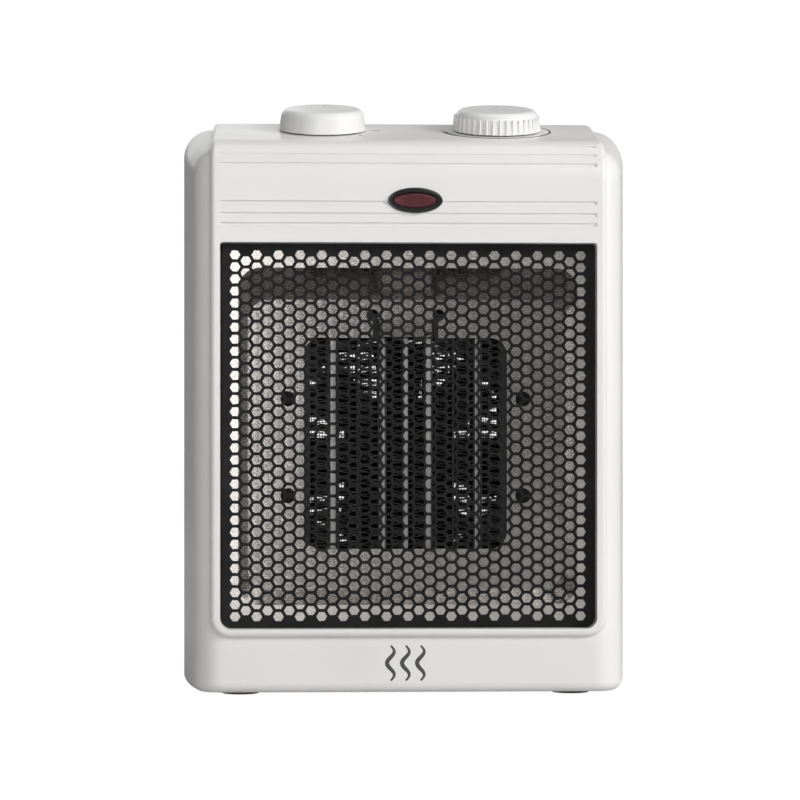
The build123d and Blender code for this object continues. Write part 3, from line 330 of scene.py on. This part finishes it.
def heat_symbol():
    """Three rising wavy lines printed under the outlet, on the curve of the casing's base."""
    casing = surface_of("front_housing")
    mesh = bmesh.new()
    for shift in (-WAVE_SPACING, 0, WAVE_SPACING):
        middle, across, outward = [], [], []
        for step in range(WAVE_STEPS + 1):
            rise = step / WAVE_STEPS
            sway = (shift + WAVE_OFFSET + WAVE_SWAY * sin(rise * 3 * pi)) * MM
            slope = WAVE_SWAY * 3 * pi * cos(rise * 3 * pi) / WAVE_HEIGHT
            spot, normal, _, _ = casing.ray_cast(
                Vector((sway, -1, (WAVE_FOOT + WAVE_HEIGHT * rise) * MM)), Vector((0, 1, 0)))
            middle.append(spot)
            outward.append(normal)
            across.append(Vector((1, 0, -slope)).normalized())
        widths = [(0.7 + 1.1 * sin(pi * step / WAVE_STEPS)) * MM for step in range(WAVE_STEPS + 1)]
        ribbon(mesh, middle, across, outward, widths)
    bmesh.ops.recalc_face_normals(mesh, faces=mesh.faces)
    smooth(new_piece("heat_symbol", mesh, "frame_black", material=INK))


TICK_RADII = (21.5, 22.5, 23.5, 24.5)  # millimetres from the knob's axis
TICK_WIDTH = 0.9 * MM
WEDGE_RADIUS = 22.8
WEDGE_GAP = 9  # degrees between a tick and the wedge's end
WEDGE_STEPS = 60


def dial_marks(joint_name, stops, wedge):
    """Ticks round a knob at its stops, and for a thermostat a wedge that widens as it gets warmer."""
    joint = next(item for item in frame["joints"] if item["name"] == joint_name)
    centre, axis = Vector(joint["pos_m"]), Vector(joint["axis"]).normalized()
    right = Vector((1, 0, 0))
    rear = axis.cross(right).normalized()
    deck = surface_of("front_panel")
    mesh = bmesh.new()

    def outwards(angle):
        return right * sin(angle) + rear * cos(angle)

    def on_deck(angle, radius):
        return deck.ray_cast(centre + outwards(angle) * radius * MM + axis * 0.02, -axis)[0]

    for turn in stops:
        angle = radians(turn)
        points = [on_deck(angle, radius) for radius in TICK_RADII]
        ribbon(mesh, points, [axis.cross(outwards(angle))] * 4, [axis] * 4, TICK_WIDTH)
    if wedge:
        low, high = stops[0] + WEDGE_GAP, stops[-1] - WEDGE_GAP
        steps = range(WEDGE_STEPS + 1)
        turns = [radians(low + (high - low) * step / WEDGE_STEPS) for step in steps]
        widths = [(0.3 + 1.9 * step / WEDGE_STEPS) * MM for step in steps]
        ribbon(mesh, [on_deck(turn, WEDGE_RADIUS) for turn in turns], [outwards(turn) for turn in turns],
               [axis] * len(turns), widths)
    bmesh.ops.recalc_face_normals(mesh, faces=mesh.faces)
    new_piece(joint_name + "_marks", mesh, "frame_black", material=INK)


heat_symbol()
dial_marks("selector_turn", (0, 45, 90, 135), wedge=False)
dial_marks("thermostat_turn", (0, 270), wedge=True)


# ---------------------------------------------------------------- dust filter behind the intake
NET_CELLS = (92, 94)
NET_INSET = 2 * MM
NET_RIM = 3.5 * MM
STRAND = 0.55 * MM
WEAVE = 0.12 * MM


def dust_net():
    """Woven net in a moulded rim, where the CAD has a plain plate."""
    low, high = (Vector(corner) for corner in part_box("intake_filter"))
    middle, half = (low + high) / 2, (high - low) / 2
    across, up = NET_CELLS
    mesh = bmesh.new()
    bmesh.ops.create_grid(mesh, x_segments=across, y_segments=up, size=1)
    for number, vert in enumerate(mesh.verts):
        weave = WEAVE * (1 if (number // (across + 1) + number % (across + 1)) % 2 else -1)
        vert.co = middle + Vector((
            vert.co.x * (half.x - NET_INSET), weave, vert.co.y * (half.z - NET_INSET)))
    net = new_piece("dust_net", mesh, "filter_net")
    strands = net.modifiers.new("strands", "WIREFRAME")
    strands.thickness = STRAND
    strands.use_even_offset = False
    rim = bmesh.new()
    rings = []
    for inset in (0, NET_RIM):
        for depth in (low.y, high.y):
            rings.append([
                rim.verts.new((middle.x + x * (half.x - inset), depth, middle.z + z * (half.z - inset)))
                for x, z in ((-1, -1), (1, -1), (1, 1), (-1, 1))])
    outer_front, outer_back, inner_front, inner_back = rings
    for a, b in ((outer_front, outer_back), (outer_back, inner_back), (inner_back, inner_front),
                 (inner_front, outer_front)):
        for k in range(4):
            rim.faces.new((a[k], a[(k + 1) % 4], b[(k + 1) % 4], b[k]))
    bmesh.ops.recalc_face_normals(rim, faces=rim.faces)
    border = new_piece("dust_net_rim", rim, "filter_net")
    edge = border.modifiers.new("edges", "BEVEL")
    edge.width = 0.3 * MM
    edge.segments = 2
    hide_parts("intake_filter")


dust_net()


# ---------------------------------------------------------------- spring of the tilt plunger
COIL_RADIUS = 3.9 * MM
COIL_TURNS = 5
STEPS_PER_TURN = 24
WIRE_SIDES = 8


def coil_spring():
    """A helix whose top rests on its seat in the casing and whose foot rests on the plunger."""
    low, high = (Vector(corner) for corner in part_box("tilt_spring"))
    middle = (low + high) / 2
    wire = (high.x - low.x) / 2 - COIL_RADIUS
    steps = COIL_TURNS * STEPS_PER_TURN
    mesh = bmesh.new()
    rings = []
    for step in range(steps + 1):
        angle = 2 * pi * step / STEPS_PER_TURN
        outward = Vector((cos(angle), sin(angle), 0))
        rise = low.z + wire + (high.z - low.z - 2 * wire) * step / steps
        centre = Vector((middle.x, middle.y, rise)) + outward * COIL_RADIUS
        section = [2 * pi * k / WIRE_SIDES for k in range(WIRE_SIDES)]
        rings.append([mesh.verts.new(centre + outward * wire * cos(turn) + Vector((0, 0, wire * sin(turn))))
                      for turn in section])
    for near, far in zip(rings, rings[1:]):
        for k in range(WIRE_SIDES):
            after = (k + 1) % WIRE_SIDES
            mesh.faces.new((near[k], near[after], far[after], far[k]))
    mesh.faces.new(rings[0])
    mesh.faces.new(rings[-1])
    bmesh.ops.recalc_face_normals(mesh, faces=mesh.faces)
    piece = new_piece("coil_spring", mesh, "steel", body=None)
    smooth(piece)
    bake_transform(piece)
    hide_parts("tilt_spring")


coil_spring()


# ---------------------------------------------------------------- stage, light and camera
def area_light(name, place, aim, size, power):
    data = bpy.data.lights.new(name, "AREA")
    data.shape = "RECTANGLE"
    data.size, data.size_y = size
    data.energy = power
    lamp = bpy.data.objects.new(name, data)
    bpy.context.scene.collection.objects.link(lamp)
    lamp.location = place
    lamp.rotation_euler = (Vector(aim) - Vector(place)).to_track_quat("-Z", "Y").to_euler()


def pale_floor():
    mesh = bmesh.new()
    bmesh.ops.create_grid(mesh, x_segments=1, y_segments=1, size=12)
    data = bpy.data.meshes.new("floor")
    mesh.to_mesh(data)
    mesh.free()
    floor = bpy.data.objects.new("floor", data)
    bpy.context.scene.collection.objects.link(floor)
    paint = Paint("floor_paper", (0.68, 0.68, 0.68), 0.9)
    paint.vary_colour(paint.noise(3), (0.67, 0.67, 0.67), (0.69, 0.69, 0.69))
    glow = paint.nodes.new("ShaderNodeEmission")
    glow.inputs["Strength"].default_value = 1.2
    seen = paint.nodes.new("ShaderNodeLightPath")
    share = paint.nodes.new("ShaderNodeMapRange")
    share.inputs["To Max"].default_value = 0.82
    blend = paint.nodes.new("ShaderNodeMixShader")
    paint.link(seen.outputs["Is Camera Ray"], share.inputs["Value"])
    paint.link(share.outputs["Result"], blend.inputs["Fac"])
    paint.link(paint.shader.outputs["BSDF"], blend.inputs[1])
    paint.link(glow.outputs["Emission"], blend.inputs[2])
    paint.link(blend.outputs["Shader"], paint.nodes["Material Output"].inputs["Surface"])
    floor.data.materials.append(paint.material)


def studio_world():
    """A white room seen behind the object, whose light is weaker on the left."""
    world = bpy.data.worlds.new("studio")
    bpy.context.scene.world = world
    world.use_nodes = True
    tree = world.node_tree
    plain = tree.nodes["Background"]
    plain.inputs["Color"].default_value = (1, 1, 1, 1)
    plain.inputs["Strength"].default_value = 1.05
    room = tree.nodes.new("ShaderNodeBackground")
    where = tree.nodes.new("ShaderNodeTexCoord")
    split = tree.nodes.new("ShaderNodeSeparateXYZ")
    across = tree.nodes.new("ShaderNodeMapRange")
    across.inputs["From Min"].default_value = -1
    across.inputs["From Max"].default_value = 0.7
    across.inputs["To Min"].default_value = 0.06
    across.inputs["To Max"].default_value = 0.5
    seen = tree.nodes.new("ShaderNodeLightPath")
    choice = tree.nodes.new("ShaderNodeMixShader")
    tree.links.new(where.outputs["Generated"], split.inputs["Vector"])
    tree.links.new(split.outputs["X"], across.inputs["Value"])
    tree.links.new(across.outputs["Result"], room.inputs["Strength"])
    tree.links.new(seen.outputs["Is Camera Ray"], choice.inputs["Fac"])
    tree.links.new(room.outputs["Background"], choice.inputs[1])
    tree.links.new(plain.outputs["Background"], choice.inputs[2])
    tree.links.new(choice.outputs["Shader"], tree.nodes["World Output"].inputs["Surface"])


def studio():
    pale_floor()
    studio_world()
    area_light("key", (1.75, -1.2, 0.95), (0, 0, 0.12), (0.45, 0.6), 25)
    area_light("front", (0.7, -2.2, 1.3), (0, 0, 0.13), (0.9, 0.7), 10)
    area_light("reflector", (-0.23, -1.3, 0.34), (-0.06, 0, 0.13), (0.16, 0.7), 2.8)
    area_light("top", (0.2, 0.1, 2.2), (0, 0, 0), (1.6, 1.6), 8)
    area_light("rear fill", (-0.6, 1.9, 1.1), (0, 0, 0.12), (1.2, 1.0), 4.5)


EYE = (-0.050, -1.200, 0.105)
LENS = 123.4
SENSOR = 36
RISE_SHIFT = 0.056
TURN = atan2(0.0487, 1.190)  # towards the middle of the heater


def camera():
    """The viewing angle of a product shot: level with the middle, a little from the left."""
    data = bpy.data.cameras.new("camera")
    eye = bpy.data.objects.new("camera", data)
    bpy.context.scene.collection.objects.link(eye)
    eye.location = EYE
    eye.rotation_euler = (pi / 2, 0, -TURN)
    data.sensor_width = SENSOR
    data.lens = LENS
    data.shift_y = RISE_SHIFT
    bpy.context.scene.camera = eye


studio()
camera()
bpy.context.scene.view_settings.view_transform = "Standard"
